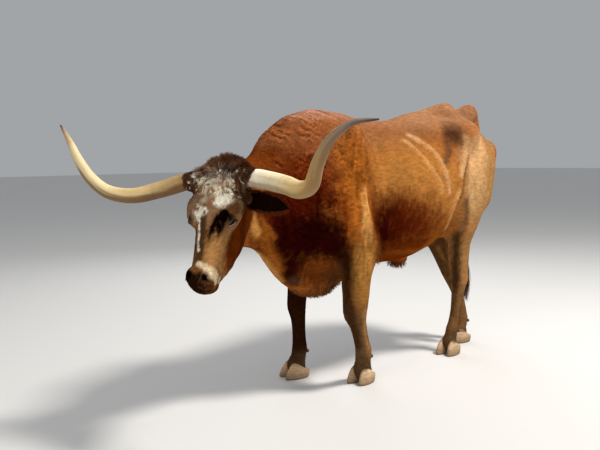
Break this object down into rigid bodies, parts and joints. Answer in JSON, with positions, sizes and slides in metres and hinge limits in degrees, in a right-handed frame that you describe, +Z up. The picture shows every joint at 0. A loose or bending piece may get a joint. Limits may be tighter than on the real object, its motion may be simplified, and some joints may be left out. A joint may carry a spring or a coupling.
{
  "type": "texas longhorn steer",
  "caption": "Still, life-size Texas longhorn steer with a red-brown coat, roan face and wide upswept horns, standing with its head lowered and turned to its left.",
  "frame": {"origin": "on the floor, below the middle of the whole animal's box", "axes": "+Z up, the head towards -Y, the animal's left towards +X"},
  "size_m": [1.339, 2.732, 1.5648],
  "materials": {
    "coat": "short red-brown hair, lying flat",
    "face": "short roan hair, curly on the forehead",
    "ear": "dark brown short hair",
    "tail": "red-brown hair, long and darker at the end",
    "horn": "smooth cream horn with grey-brown tips",
    "hoof": "dull grey-brown horn, worn and dusty",
    "eye": "wet dark brown"
  },
  "bodies": {
    "root": {"torso": "coat", "neck": "coat", "head": "face", "eye_left": "eye", "eye_right": "eye", "horn_left": "horn", "horn_right": "horn", "ear_left": "ear", "ear_right": "ear", "foreleg_left": "coat", "foreleg_right": "coat", "hindleg_left": "coat", "hindleg_right": "coat", "hoof_front_left": "hoof", "hoof_front_right": "hoof", "hoof_hind_left": "hoof", "hoof_hind_right": "hoof", "tail": "tail", "tail_switch": "tail"}
  },
  "joints": []
}
